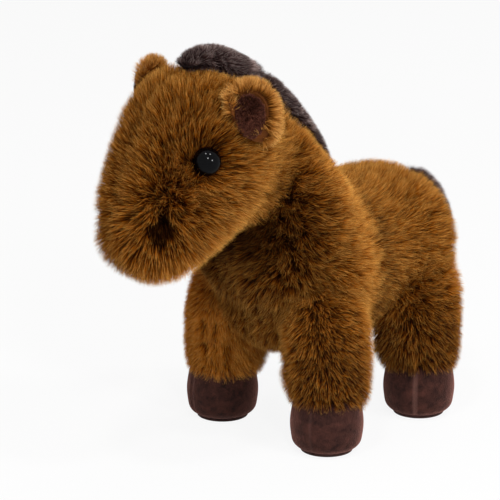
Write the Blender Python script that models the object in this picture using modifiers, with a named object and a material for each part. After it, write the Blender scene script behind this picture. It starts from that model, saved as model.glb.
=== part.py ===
"""A plush horse that stands on four soft hooves, built piece by piece.

Sizes are in metres. The horse faces -Y, its left side is +X and up is +Z. Lengths along Y are
counted from the middle of the four hooves, and the whole horse is slid along Y at the end, so
that the middle of its box stands over the origin.
"""

from math import ceil, cos, pi, radians, sin, tau

import bmesh
import bpy
from mathutils import Matrix, Vector

# Fits and finish of the meshes.
gap = 0.0003
merge_distance = 0.00001
flat_depth = 0.0005
cover_sides = 14
core_sides = 8
limb_sides = 10
limb_core_sides = 6
rounding_levels = 1
hoof_steps = 18
eye_steps = 16
dome_steps = 5
swing_step_degrees = 15

# The pile and its cloth together, measured square to the surface.
body_pile = 0.008
head_pile = 0.008
leg_pile = 0.0055
hoof_cloth = 0.002

# Stance: the places of the hooves, and the hinge of each leg.
front_track = 0.0887
hind_track = 0.0773
wheelbase = 0.090
leg_hinge_height = 0.088
leg_swing_degrees = 10

# Body, a barrel from the rump to the chest, and the neck that rises from it.
rump_reach = 0.0845
rump_height = 0.110
body_half_width = 0.061
waist_half_width = 0.0390
body_half_height = 0.0475
body_height = 0.1035
chest_drop = 0.0130
neck_half_width = 0.042
neck_half_depth = 0.041
neck_top_reach = 0.084
neck_top_height = 0.196
neck_tilt_degrees = 50
neck_opening_radius = 0.014

# Head, an egg that hangs from the crown to the muzzle.
head_reach = 0.109
head_height = 0.189
head_half_width = 0.047
head_half_depth = 0.050
forehead_rise = 0.002
muzzle_reach = 0.141
muzzle_height = 0.1535
muzzle_half_width = 0.035
muzzle_half_depth = 0.0355
nod_reach = 0.078
nod_height = 0.178
nod_degrees = 8

# Legs and hooves.
leg_radius = 0.0256
shoulder_radius = 0.0256
fetlock_radius = 0.0216
leg_cover_bottom = 0.0255
leg_swell_height = 0.044
shoulder_height = 0.092
leg_top_height = 0.116
core_top_height = 0.094
hoof_radius = 0.0222
hoof_top_radius = 0.0186
hoof_swell_height = 0.012
hoof_top_height = 0.034
sole_radius = 0.0165
sole_edge_height = 0.0035

# Ears.
ear_turn_degrees = 96
ear_rise_degrees = 20
ear_sunk = 0.0020
ear_height = 0.034
ear_half_width = 0.019
ear_half_thickness = 0.0098
ear_facing_degrees = 30
ear_lean_degrees = 14
ear_out_degrees = 20
ear_in_degrees = 10
lining_half_height = 0.0128
lining_half_width = 0.0108
lining_depth = 0.006
lining_thickness = 0.0035

# Eyes, each with a shank through the cover and a washer behind it.
eye_turn_degrees = 52.7
eye_rise_degrees = 6.7
eye_radius = 0.0080
eye_dome = 0.006
eye_rim = 0.0015
eye_sunk = 0.0030
eye_shank_radius = 0.0019
eye_shank_end = 0.001
washer_radius = 0.0065
washer_thickness = 0.0014

# Mane: a strip on the poll, which nods, and one along the crest of the neck.
mane_half_width = 0.012
mane_half_thickness = 0.009
mane_top = 0.2518

# Tail.
tail_rise_degrees = 52.7
tail_sunk = 0.004
tail_length = 0.066
tail_stand = 0.024
tail_half_width = 0.0135
tail_half_thickness = 0.009
tail_lift_degrees = 60


# Scene, collections and materials.


def empty_scene():
    """Removes every object, so that the horse starts alone."""
    for thing in list(bpy.data.objects):
        bpy.data.objects.remove(thing, do_unlink=True)


def new_collection(name):
    """Returns a new collection that is linked to the scene."""
    collection = bpy.data.collections.new(name)
    bpy.context.scene.collection.children.link(collection)
    return collection


def new_material(name, colour, roughness, metallic=0.0):
    """Returns a Principled material of one colour."""
    material = bpy.data.materials.new(name)
    material.use_nodes = True
    shader = material.node_tree.nodes["Principled BSDF"]
    shader.inputs["Base Color"].default_value = (*colour, 1.0)
    shader.inputs["Roughness"].default_value = roughness
    shader.inputs["Metallic"].default_value = metallic
    material.diffuse_color = (*colour, 1.0)
    return material


empty_scene()
parts = new_collection("plush_horse")
cutters = new_collection("cutters")

brown_pile = new_material("brown_pile", (0.32, 0.12, 0.025), 0.9)
ear_pile = new_material("ear_pile", (0.50, 0.23, 0.07), 0.9)
dark_pile = new_material("dark_pile", (0.06, 0.035, 0.03), 0.9)
hoof_plush = new_material("hoof_plush", (0.055, 0.025, 0.02), 0.8)
sole_plush = new_material("sole_plush", (0.04, 0.018, 0.015), 0.8)
lining_plush = new_material("lining_plush", (0.05, 0.02, 0.015), 0.8)
white_fibre = new_material("white_fibre", (0.85, 0.84, 0.80), 0.95)
eye_plastic = new_material("eye_plastic", (0.01, 0.01, 0.012), 0.08)
washer_plastic = new_material("washer_plastic", (0.8, 0.8, 0.78), 0.4)


# Helpers that make, place and cut the pieces.


def new_object(name, mesh, material=None, parent=None):
    """Returns a piece, or a cutter where no material is given."""
    thing = bpy.data.objects.new(name, mesh)
    if material:
        mesh.materials.append(material)
        parts.objects.link(thing)
    else:
        cutters.objects.link(thing)
        thing.hide_render = True
        thing.display_type = "WIRE"
    if parent:
        thing.parent = parent
        thing.matrix_parent_inverse = parent.matrix_world.inverted()
    return thing


def new_pivot(name, place, turn=None, parent=None):
    """Returns an empty that stands on a joint's axis."""
    pivot = bpy.data.objects.new(name, None)
    parts.objects.link(pivot)
    pivot.matrix_world = Matrix.Translation(place) @ (turn or Matrix())
    if parent:
        pivot.parent = parent
        pivot.matrix_parent_inverse = parent.matrix_world.inverted()
    bpy.context.view_layer.update()
    return pivot


def ring(x, y, z, half_width, half_depth, tilt_degrees):
    """One ring of a cage: 0 degrees faces forwards, 90 degrees faces up."""
    return Vector((x, y, z)), half_width, half_depth, radians(tilt_degrees)


def ring_loop(bm, one_ring, sides):
    """Adds a ring's corners, set out so that the smoothed form has the ring's own size."""
    centre, half_width, half_depth, tilt = one_ring
    smoothing_share = (2 + cos(tau / sides)) / 3
    across = half_width / smoothing_share
    deep = half_depth / smoothing_share
    place = Matrix.Translation(centre) @ Matrix.Rotation(pi / 2 - tilt, 4, "X")
    circle = bmesh.ops.create_circle(bm, segments=sides, radius=1, matrix=Matrix())
    stretch = Matrix.Diagonal((across, deep, 1, 1))
    bmesh.ops.transform(bm, matrix=place @ stretch, verts=circle["verts"])
    return list({edge for corner in circle["verts"] for edge in corner.link_edges})


def cage_mesh(name, rings, sides):
    """A coarse closed cage: rings joined one to the next, with a cap at each end."""
    bm = bmesh.new()
    loops = [ring_loop(bm, one_ring, sides) for one_ring in rings]
    for lower, upper in zip(loops, loops[1:]):
        bmesh.ops.bridge_loops(bm, edges=lower + upper)
    for end in (loops[0], loops[-1]):
        bmesh.ops.contextual_create(bm, geom=end)
    bmesh.ops.recalc_face_normals(bm, faces=bm.faces)
    for face in bm.faces:
        face.smooth = True
    mesh = bpy.data.meshes.new(name)
    bm.to_mesh(mesh)
    bm.free()
    return mesh


def offset_surface(thing, offset):
    """Moves a surface out by an offset, or in by a negative one."""
    shift = thing.modifiers.new("offset", "DISPLACE")
    shift.mid_level = 0
    shift.strength = offset


def form(name, cage, offset=0.0, material=None, parent=None):
    """A soft form made from a cage, as a piece or as a cutter.

    Its faces are split the same way at every offset, so that nested forms keep their gap.
    """
    thing = new_object(name, cage.copy(), material, parent)
    subdivision = thing.modifiers.new("rounding", "SUBSURF")
    subdivision.levels = rounding_levels
    subdivision.render_levels = rounding_levels
    split = thing.modifiers.new("split", "TRIANGULATE")
    split.quad_method = "FIXED"
    if offset:
        offset_surface(thing, offset)
    return thing


def cut(thing, *cutters, solver="EXACT"):
    """Cuts a piece with one cutter after another."""
    for cutter in cutters:
        step = thing.modifiers.new(cutter.name, "BOOLEAN")
        step.operation = "DIFFERENCE"
        step.solver = solver
        step.object = cutter


def cut_clear(thing, *cutters):
    """Cuts a piece with forms that nearly touch one another, which the exact solver can lose."""
    cut(thing, *cutters, solver="MANIFOLD")


def turned_about(thing, place, axis, angle, name):
    """A copy of a cutter, turned about a hinge."""
    copy = thing.copy()
    copy.name = name
    cutters.objects.link(copy)
    hinge = Matrix.Translation(place)
    turn = hinge @ Matrix.Rotation(angle, 4, axis) @ hinge.inverted()
    copy.matrix_world = turn @ thing.matrix_world
    return copy


def swept(things, place, axis, low_degrees, high_degrees):
    """The carrying forms at rest, and as the piece on the hinge meets them while it moves."""
    copies = list(things)
    span = high_degrees - low_degrees
    steps = ceil(span / swing_step_degrees)
    for step in range(steps + 1):
        degrees = low_degrees + span * step / steps
        if degrees:
            for thing in things:
                name = f"{thing.name}_turned"
                copies.append(turned_about(thing, place, axis, radians(-degrees), name))
    return copies


def turned_mesh(name, profile):
    """A solid of revolution about Z, from a profile that runs down its outer side."""
    bm = bmesh.new()
    corners = [bm.verts.new((radius, 0, height)) for radius, height in profile]
    for first, second in zip(corners, corners[1:]):
        bm.edges.new((first, second))
    bmesh.ops.remove_doubles(bm, verts=bm.verts, dist=merge_distance)
    mesh = bpy.data.meshes.new(name)
    bm.to_mesh(mesh)
    bm.free()
    return mesh


def turned(name, profile, steps, material=None, parent=None, turn=None):
    """A turned piece or cutter, placed by a matrix."""
    thing = new_object(name, turned_mesh(name, profile), material, None)
    screw = thing.modifiers.new("turning", "SCREW")
    screw.steps = steps
    screw.render_steps = steps
    screw.use_merge_vertices = True
    screw.merge_threshold = merge_distance
    screw.use_smooth_shade = True
    thing.matrix_world = turn or Matrix()
    if parent:
        thing.parent = parent
        thing.matrix_parent_inverse = parent.matrix_world.inverted()
    return thing


def surface_place(thing, centre, direction):
    """The place where a line from inside a form leaves its surface."""
    bpy.context.view_layer.update()
    whole = thing.evaluated_get(bpy.context.evaluated_depsgraph_get())
    return whole.ray_cast(centre, direction)[1]


def direction_of(turn_degrees, rise_degrees, x_sign=1):
    """A direction, turned from straight ahead towards a side and raised from the level."""
    turn, rise = radians(turn_degrees), radians(rise_degrees)
    return Vector((x_sign * sin(turn) * cos(rise), -cos(turn) * cos(rise), sin(rise)))


def facing(place, direction, up=Vector((0, 0, 1))):
    """A matrix whose Z points along a direction, with Y as near up as it can be."""
    forward = direction.normalized()
    side = up.cross(forward).normalized()
    return Matrix.Translation(place) @ Matrix((side, forward.cross(side), forward)).transposed().to_4x4()


# Body and neck: each a cover round a core of fibre, with the neck cut by the body.


def body_rings():
    """The rings of the body's cage, from the rump to the chest."""
    wide, tall = body_half_width, body_half_height
    hind = wheelbase / 2
    chest_tall = tall + chest_drop
    return [
        ring(0, rump_reach * 0.97, rump_height, wide * 0.42, tall * 0.50, 0),
        ring(0, rump_reach * 0.80, rump_height * 0.985, wide * 0.84, tall * 0.88, 0),
        ring(0, hind, body_height * 1.01, wide, tall, 0),
        ring(0, hind * 0.18, body_height * 0.98, waist_half_width, tall * 1.02, 0),
        ring(0, -hind * 0.60, body_height * 1.04, wide, chest_tall, 8),
        ring(0, -hind * 1.10, body_height * 1.06, wide * 0.95, chest_tall * 0.92, 8),
        ring(0, -hind * 1.50, body_height * 1.06, wide * 0.58, chest_tall * 0.58, 8),
    ]


def neck_rings():
    """The rings of the neck's cage, from inside the body to the top of the neck."""
    wide, deep, lean = neck_half_width, neck_half_depth, neck_tilt_degrees
    hind = wheelbase / 2
    return [
        ring(0, -hind * 0.75, body_height * 1.08, body_half_width * 0.72, deep, 40),
        ring(0, -hind * 0.98, body_height * 1.27, body_half_width * 0.94, deep * 1.30, 41),
        ring(0, -hind * 1.22, body_height * 1.42, wide * 1.25, deep * 1.13, 44),
        ring(0, -neck_top_reach * 0.80, neck_top_height * 0.885, wide * 1.05, deep, lean),
        ring(0, -neck_top_reach, neck_top_height, wide * 0.62, deep * 0.62, lean),
    ]


body_cage = cage_mesh("body_cage", body_rings(), cover_sides)
body_core_cage = cage_mesh("body_core_cage", body_rings(), core_sides)
body_cutter = form("body_cutter", body_cage, gap)
neck_cage = cage_mesh("neck_cage", neck_rings(), cover_sides)
neck_core_cage = cage_mesh("neck_core_cage", neck_rings(), core_sides)
neck_cutter = form("neck_cutter", neck_cage, gap)
trunk_cutters = (body_cutter, neck_cutter)


def opening_profile():
    """A plain round hole through a cover."""
    length = body_pile * 3
    radius = neck_opening_radius
    return [(0, length), (radius, length), (radius, -length), (0, -length)]


def make_trunk():
    """The body and the neck: their covers, open to one another, and their cores."""
    neck_top = Vector((0, -neck_top_reach, neck_top_height))
    tilt = radians(neck_tilt_degrees)
    up_the_neck = Vector((0, -cos(tilt), sin(tilt)))
    neck_foot = surface_place(body_cutter, Vector((0, 0, body_height)), up_the_neck)
    body = form("body_cover", body_cage, 0, brown_pile, stand)
    cut(body, form("body_cavity", body_core_cage, -body_pile))
    form("body_stuffing", body_core_cage, -body_pile - gap, white_fibre, stand)
    way = facing(neck_foot, up_the_neck)
    cut(body, turned("neck_foot_opening", opening_profile(), hoof_steps, turn=way))
    neck = form("neck_cover", neck_cage, 0, brown_pile, stand)
    cut(neck, form("neck_cavity", neck_core_cage, -body_pile))
    way = facing(neck_top, up_the_neck)
    cut(neck, turned("neck_top_opening", opening_profile(), hoof_steps, turn=way))
    core = form("neck_stuffing", neck_core_cage, -body_pile - gap, white_fibre, stand)
    cut_clear(neck, body_cutter)
    cut_clear(core, body_cutter)


# Head: an egg-shaped cover that the neck enters from behind and below.

head_centre = Vector((0, -head_reach, head_height))
muzzle_centre = Vector((0, -muzzle_reach, muzzle_height))
head_axis = (muzzle_centre - head_centre).normalized()
head_rise = Vector((0, head_axis.z, -head_axis.y))
nod_place = Vector((0, -nod_reach, nod_height))


def head_rings():
    """The rings of the head's cage, from the back of the crown to the nose."""
    drop = (muzzle_centre - head_centre).length
    back = head_half_depth
    tilt = -head_axis.angle(Vector((0, -1, 0))) * 180 / pi
    wide, deep = head_half_width, head_half_depth
    stations = [
        (-back * 0.93, wide * 0.46, deep * 0.46),
        (-back * 0.66, wide * 0.85, deep * 0.85),
        (-back * 0.05, wide, deep),
        (drop * 0.50, (wide + muzzle_half_width) / 2, (deep + muzzle_half_depth) / 2),
        (drop * 1.06, muzzle_half_width * 1.0, muzzle_half_depth * 1.0),
        (drop + muzzle_half_depth * 0.68, muzzle_half_width * 0.74, muzzle_half_depth * 0.74),
        (drop + muzzle_half_depth * 0.95, muzzle_half_width * 0.38, muzzle_half_depth * 0.38),
    ]
    rings = []
    for along, half_width, half_depth in stations:
        centre = head_centre + head_axis * along + head_rise * forehead_rise
        rings.append(ring(0, centre.y, centre.z, half_width, half_depth, tilt))
    return rings


head_cage = cage_mesh("head_cage", head_rings(), cover_sides)
head_core_cage = cage_mesh("head_core_cage", head_rings(), core_sides)
head_cutter = form("head_cutter", head_cage, gap)


def make_head(pivot):
    """The head's cover and core."""
    cover = form("head_cover", head_cage, 0, brown_pile, pivot)
    cut(cover, form("head_cavity", head_core_cage, -head_pile))
    core = form("head_stuffing", head_core_cage, -head_pile - gap, white_fibre, pivot)
    return cover, core


def clear_the_neck(cover, core):
    """Cuts the head's cover and core clear of the neck over the whole nod."""
    trunks = swept(trunk_cutters, nod_place, "X", -nod_degrees, nod_degrees)
    cut_clear(cover, *trunks)
    cut_clear(core, *trunks)


# Legs: a cover over a core, with a turned hoof and a sole below.


def leg_rings(x, y):
    """The rings of a leg's cage, from the fetlock to the shoulder."""
    return [
        ring(x, y, leg_cover_bottom, fetlock_radius * 0.99, fetlock_radius * 0.99, 90),
        ring(x, y, leg_cover_bottom + leg_pile * 0.3, fetlock_radius, fetlock_radius, 90),
        ring(x, y, leg_cover_bottom + leg_pile * 1.5, leg_radius * 0.96, leg_radius * 0.96, 90),
        ring(x, y, leg_swell_height, leg_radius, leg_radius, 90),
        ring(x, y, leg_hinge_height * 0.75, leg_radius * 1.02, leg_radius * 1.02, 90),
        ring(x * 0.92, y, shoulder_height, shoulder_radius, shoulder_radius, 90),
        ring(x * 0.80, y, leg_top_height, shoulder_radius * 0.55, shoulder_radius * 0.55, 90),
    ]


def core_rings(x, y):
    """The rings of a leg's core, from the sole to the shoulder."""
    hoof_core = hoof_radius - hoof_cloth - gap
    neck_core = hoof_top_radius - hoof_cloth - gap
    leg_core = leg_radius - leg_pile - gap
    top_core = shoulder_radius - leg_pile - gap
    return [
        ring(x, y, sole_edge_height + hoof_cloth, sole_radius * 0.8, sole_radius * 0.8, 90),
        ring(x, y, hoof_swell_height, hoof_core * 0.97, hoof_core * 0.97, 90),
        ring(x, y, leg_cover_bottom, neck_core * 0.95, neck_core * 0.95, 90),
        ring(x, y, leg_swell_height, leg_core * 0.98, leg_core * 0.98, 90),
        ring(x * 0.94, y, leg_hinge_height * 0.85, top_core, top_core, 90),
        ring(x * 0.90, y, core_top_height, top_core * 0.5, top_core * 0.5, 90),
    ]


def hoof_profile():
    """The outside of a hoof from its top to its lower edge, and back up inside."""
    return [
        (0, hoof_top_height),
        (hoof_top_radius, hoof_top_height),
        (hoof_top_radius * 1.02, leg_cover_bottom),
        (hoof_radius * 0.975, hoof_swell_height * 1.55),
        (hoof_radius, hoof_swell_height * 0.9),
        (hoof_radius * 0.94, sole_edge_height),
        (sole_radius + (hoof_radius - sole_radius) * 0.42, hoof_cloth * 0.5),
        (sole_radius + gap, hoof_cloth * 0.2),
        (sole_radius + gap, sole_edge_height + gap),
        (0, sole_edge_height + gap),
    ]


def sole_profile():
    """A sole with a rounded edge, flat where the horse stands on it."""
    return [
        (0, sole_edge_height),
        (sole_radius, sole_edge_height),
        (sole_radius, flat_depth),
        (sole_radius - flat_depth * 2, 0),
        (0, 0),
    ]


def make_leg(name, x, y, pivot):
    """One leg, cut by the body over its whole swing, with its hoof and sole."""
    hinge = Vector((x, y, leg_hinge_height))
    core_cage = cage_mesh(f"{name}_core_cage", core_rings(x, y), limb_core_sides)
    cavity = form(f"{name}_cavity", core_cage, gap)
    core = form(f"{name}_stuffing", core_cage, 0, white_fibre, pivot)
    cover_cage = cage_mesh(f"{name}_cage", leg_rings(x, y), limb_sides)
    cover = form(f"{name}_cover", cover_cage, 0, brown_pile, pivot)
    place = Matrix.Translation((x, y, 0))
    hoof = turned(f"{name}_hoof", hoof_profile(), hoof_steps, hoof_plush, pivot, place)
    turned(f"{name}_sole", sole_profile(), hoof_steps, sole_plush, pivot, place)
    hoof_room = turned(f"{name}_hoof_room", hoof_profile(), hoof_steps, turn=place)
    offset_surface(hoof_room, gap)
    cut(hoof, cavity)
    trunks = swept(trunk_cutters, hinge, "X", -leg_swing_degrees, leg_swing_degrees)
    cut_clear(cover, *trunks, hoof_room, cavity)
    cut_clear(core, *trunks)


# Ears: a thick round flap with a short lining in a hollow of its face.


def ear_rings():
    """The rings of an ear's cage, from the root to the tip, in the ear's own frame."""
    wide, thick, tall = ear_half_width, ear_half_thickness, ear_height
    return [
        ring(0, 0, -tall * 0.20, wide * 0.60, thick * 0.80, 90),
        ring(0, 0, tall * 0.12, wide * 0.90, thick, 90),
        ring(0, 0, tall * 0.50, wide, thick, 90),
        ring(0, 0, tall * 0.82, wide * 0.78, thick * 0.85, 90),
        ring(0, 0, tall * 0.98, wide * 0.42, thick * 0.50, 90),
    ]


def lining_mesh(name, spare):
    """A round pad, flat in front, that fills the hollow of an ear; the hollow is larger by a spare."""
    bm = bmesh.new()
    bmesh.ops.create_uvsphere(bm, u_segments=16, v_segments=8, radius=1)
    size = (lining_half_width + spare, lining_depth + spare, lining_half_height + spare, 1)
    bmesh.ops.transform(bm, matrix=Matrix.Diagonal(size), verts=bm.verts)
    if not spare:
        face_at = Vector((0, -lining_depth + lining_thickness, 0))
        everything = bm.verts[:] + bm.edges[:] + bm.faces[:]
        bmesh.ops.bisect_plane(
            bm, geom=everything, plane_co=face_at, plane_no=(0, 1, 0), clear_outer=True
        )
        rim = [edge for edge in bm.edges if edge.is_boundary]
        bmesh.ops.contextual_create(bm, geom=rim)
    bmesh.ops.recalc_face_normals(bm, faces=bm.faces)
    mesh = bpy.data.meshes.new(name)
    bm.to_mesh(mesh)
    bm.free()
    mesh.shade_smooth()
    mesh.set_sharp_from_angle(angle=radians(40))
    return mesh


def make_ear(name, x_sign, parent):
    """One ear, cut by the head over its whole fold, with its lining."""
    face_angle = radians(ear_facing_degrees)
    faces = Vector((x_sign * cos(face_angle), -sin(face_angle), 0))
    up = Vector((0, 0, 1))
    hinge_axis = up.cross(faces)
    way_out = direction_of(ear_turn_degrees, ear_rise_degrees, x_sign)
    root = surface_place(head_cutter, head_centre, way_out) - way_out * ear_sunk
    frame = Matrix((-hinge_axis, faces, up)).transposed()
    forward_lean = Matrix.Rotation(radians(ear_lean_degrees) * x_sign, 4, "Y")
    place = Matrix.Translation(root) @ frame.to_4x4() @ forward_lean
    pivot = new_pivot(f"{name}_pivot", root, parent=parent)
    cage = cage_mesh(f"{name}_cage", ear_rings(), limb_sides)
    cage.transform(place)
    ear = form(f"{name}_cover", cage, 0, ear_pile, pivot)
    hollow_at = Vector((0, ear_half_thickness, ear_height * 0.50))
    into = place @ Matrix.Translation(hollow_at)
    lining = new_object(f"{name}_lining", lining_mesh(name, 0), lining_plush, pivot)
    lining.data.transform(into)
    hollow = new_object(f"{name}_hollow", lining_mesh(name, gap))
    hollow.data.transform(into)
    cut(ear, hollow)
    heads = swept([head_cutter], root, hinge_axis, -ear_in_degrees, ear_out_degrees)
    cut_clear(ear, *heads)
    cut_clear(lining, *heads)
    print(name, "hinge", root, hinge_axis)


# Eyes: a plastic dome on a shank, held by a washer between the cover and the core.


washer_depth = head_pile - eye_sunk + gap
shank_length = washer_depth + washer_thickness + eye_shank_end


def dome_profile(spare):
    """The dome and its rim, from the front to the shank."""
    points = []
    for step in range(dome_steps + 1):
        angle = pi / 2 * step / dome_steps
        points.append(((eye_radius + spare) * sin(angle), (eye_dome + spare) * cos(angle)))
    return points + [
        (eye_radius + spare, -eye_rim - spare),
        (eye_shank_radius + spare, -eye_rim - spare),
    ]


def eye_profile():
    """The dome, its rim and its shank, from the front to the back of the shank."""
    return dome_profile(0) + [(eye_shank_radius, -shank_length), (0, -shank_length)]


def eye_room_profile():
    """The room that the eye, its shank and its washer take in the cover and the core."""
    front = -washer_depth + gap
    back = -shank_length - gap
    return dome_profile(gap) + [
        (eye_shank_radius + gap, front),
        (washer_radius + gap, front),
        (washer_radius + gap, back),
        (0, back),
    ]


def washer_profile():
    """A plain ring that grips the shank behind the cover."""
    bore = eye_shank_radius + gap
    return [
        (bore, -washer_depth),
        (washer_radius, -washer_depth),
        (washer_radius, -washer_depth - washer_thickness),
        (bore, -washer_depth - washer_thickness),
        (bore, -washer_depth),
    ]


def make_eye(side, x_sign, cover, core, parent):
    """One eye, let into the pile, with its washer in a pocket of the core."""
    out = direction_of(eye_turn_degrees, eye_rise_degrees, x_sign)
    seat = surface_place(head_cutter, head_centre, out)
    way = facing(seat - out * (eye_sunk + gap), out)
    turned(f"eye_{side}", eye_profile(), eye_steps, eye_plastic, parent, way)
    turned(f"eye_washer_{side}", washer_profile(), eye_steps, washer_plastic, parent, way)
    eye_room = turned(f"eye_room_{side}", eye_room_profile(), eye_steps, turn=way)
    cut(cover, eye_room)
    cut(core, eye_room)


# Mane: dark strips, cut by what they are sewn to.


def poll_rings():
    """The rings of the mane between the ears, from the forelock to the nape."""
    wide, thick = mane_half_width, mane_half_thickness
    top = mane_top - thick
    return [
        ring(0, -head_reach * 1.13, top - thick * 0.70, wide * 0.50, thick * 0.55, -45),
        ring(0, -head_reach * 1.03, top - thick * 0.15, wide * 0.85, thick * 0.95, -22),
        ring(0, -head_reach * 0.89, top - thick * 0.05, wide, thick, 6),
        ring(0, -head_reach * 0.73, top - thick * 1.00, wide, thick, 30),
        ring(0, -head_reach * 0.59, top - thick * 2.25, wide * 0.90, thick, 40),
    ]


def crest_rings():
    """The rings of the mane along the neck, from the nape to the withers."""
    wide, thick = mane_half_width, mane_half_thickness
    top = mane_top - thick
    fall = top - body_height - body_half_height - chest_drop
    return [
        ring(0, -neck_top_reach * 0.75, top - fall * 0.24, wide * 0.90, thick, 39),
        ring(0, -neck_top_reach * 0.50, top - fall * 0.48, wide * 0.95, thick, 43),
        ring(0, -neck_top_reach * 0.27, top - fall * 0.75, wide * 0.90, thick * 0.95, 47),
        ring(0, -neck_top_reach * 0.12, top - fall * 0.96, wide * 0.75, thick * 0.80, 56),
        ring(0, -neck_top_reach * 0.02, top - fall * 1.10, wide * 0.42, thick * 0.42, 66),
    ]


def make_mane(head_pivot):
    """The mane in two strips, which part at the nape as the head nods."""
    crest_cage = cage_mesh("crest_cage", crest_rings(), core_sides)
    crest = form("mane_crest", crest_cage, 0, dark_pile, stand)
    cut(crest, *trunk_cutters, head_cutter)
    crest_cutter = form("crest_cutter", crest_cage, gap)
    poll_cage = cage_mesh("poll_cage", poll_rings(), core_sides)
    poll = form("mane_poll", poll_cage, 0, dark_pile, head_pivot)
    cut(poll, head_cutter)
    carriers = (neck_cutter, crest_cutter)
    cut_clear(poll, *swept(carriers, nod_place, "X", -nod_degrees, nod_degrees))


# Tail: a dark tuft that hangs from the top of the rump.


def tail_rings(root):
    """The rings of the tail's cage, from the root to the tip."""
    wide, thick = tail_half_width, tail_half_thickness
    stations = [
        (0.0, 0.0, 0.60, 0.60, 32),
        (0.10, 0.45, 0.85, 0.90, 45),
        (0.32, 0.88, 1.0, 1.0, 68),
        (0.60, 1.0, 1.0, 1.0, 90),
        (0.86, 0.93, 0.80, 0.80, 97),
        (1.0, 0.85, 0.45, 0.50, 99),
    ]
    rings = []
    for down_share, back_share, width_share, thickness_share, tilt in stations:
        back = root.y + tail_stand * back_share
        height = root.z - tail_length * down_share
        rings.append(ring(0, back, height, wide * width_share, thick * thickness_share, tilt))
    return rings


def make_tail():
    """The tail, cut by the rump over its whole lift."""
    hips = Vector((0, wheelbase / 2, body_height))
    way_out = direction_of(180, tail_rise_degrees)
    root = surface_place(body_cutter, hips, way_out) - way_out * tail_sunk
    pivot = new_pivot("tail_pivot", root, parent=stand)
    tail_cage = cage_mesh("tail_cage", tail_rings(root), core_sides)
    tail = form("tail", tail_cage, 0, dark_pile, pivot)
    cut_clear(tail, *swept([body_cutter], root, "X", 0, tail_lift_degrees))
    print("tail hinge", root)


# The whole horse.


def slide_to_middle():
    """Slides the horse along Y until the middle of its box is over the origin."""
    bpy.context.view_layer.update()
    graph = bpy.context.evaluated_depsgraph_get()
    reach = []
    for thing in parts.objects:
        if thing.type == "MESH":
            mesh = thing.evaluated_get(graph).to_mesh()
            reach += [(thing.matrix_world @ corner.co).y for corner in mesh.vertices]
    slide = -(min(reach) + max(reach)) / 2
    for thing in list(parts.objects) + list(cutters.objects):
        if not thing.parent:
            thing.matrix_world = Matrix.Translation((0, slide, 0)) @ thing.matrix_world
    print("slide", slide)


stand = new_pivot("stand", Vector())
make_trunk()
head_pivot = new_pivot("head_pivot", nod_place, parent=stand)
head_cover, head_core = make_head(head_pivot)
for end, y_sign, track in (("front", -1, front_track), ("hind", 1, hind_track)):
    for side, x_sign in (("left", 1), ("right", -1)):
        leg_x = x_sign * track / 2
        leg_y = y_sign * wheelbase / 2
        hinge_place = Vector((leg_x, leg_y, leg_hinge_height))
        leg_pivot = new_pivot(f"{end}_{side}_leg_pivot", hinge_place, parent=stand)
        make_leg(f"{end}_{side}_leg", leg_x, leg_y, leg_pivot)
for side, x_sign in (("left", 1), ("right", -1)):
    make_ear(f"ear_{side}", x_sign, head_pivot)
    make_eye(side, x_sign, head_cover, head_core, head_pivot)
clear_the_neck(head_cover, head_core)
make_mane(head_pivot)
make_tail()
slide_to_middle()
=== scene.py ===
# %% [markdown]
# # A plush horse with real strands of pile
#
# The solids of this toy are already modelled. This lesson dresses them: each soft part gets a skin,
# thousands of strands of pile grow on the skin, and the hooves, ear linings and eyes get finer shapes and
# finishes. The horse faces -Y, and its left side is +X.

# %% Load the imported horse
from math import cos, pi, radians, sin, tau

import bmesh
import bpy
import numpy as np
from mathutils import Matrix, Vector, noise
from mathutils.bvhtree import BVHTree
from mathutils.kdtree import KDTree


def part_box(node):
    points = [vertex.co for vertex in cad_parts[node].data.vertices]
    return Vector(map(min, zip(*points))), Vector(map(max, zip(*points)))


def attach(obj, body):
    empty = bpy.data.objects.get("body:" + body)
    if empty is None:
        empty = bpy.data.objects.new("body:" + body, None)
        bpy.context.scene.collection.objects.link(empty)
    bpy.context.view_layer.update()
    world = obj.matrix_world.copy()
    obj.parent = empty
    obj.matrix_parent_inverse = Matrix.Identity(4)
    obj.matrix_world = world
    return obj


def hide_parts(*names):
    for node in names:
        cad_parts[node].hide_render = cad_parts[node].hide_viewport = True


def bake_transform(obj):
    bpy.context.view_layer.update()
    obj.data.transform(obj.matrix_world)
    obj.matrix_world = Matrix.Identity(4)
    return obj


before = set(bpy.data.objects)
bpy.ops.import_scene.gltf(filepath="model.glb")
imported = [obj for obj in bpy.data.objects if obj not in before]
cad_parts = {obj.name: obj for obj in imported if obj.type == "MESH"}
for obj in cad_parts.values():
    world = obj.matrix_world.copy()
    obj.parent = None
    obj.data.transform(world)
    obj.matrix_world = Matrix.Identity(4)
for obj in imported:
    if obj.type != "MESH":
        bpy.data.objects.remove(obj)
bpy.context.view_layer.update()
millimetre = 0.001

# %% [markdown]
# ## The camera
#
# The photograph looks at the horse from its front left, a little from above, through a long
# lens. A long lens from far away keeps the hooves nearly level with one another, so the camera
# stands 1.8 m away. It is turned towards a point left of the horse and below its middle, as in
# the photograph, so no lens shift is needed.

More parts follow.
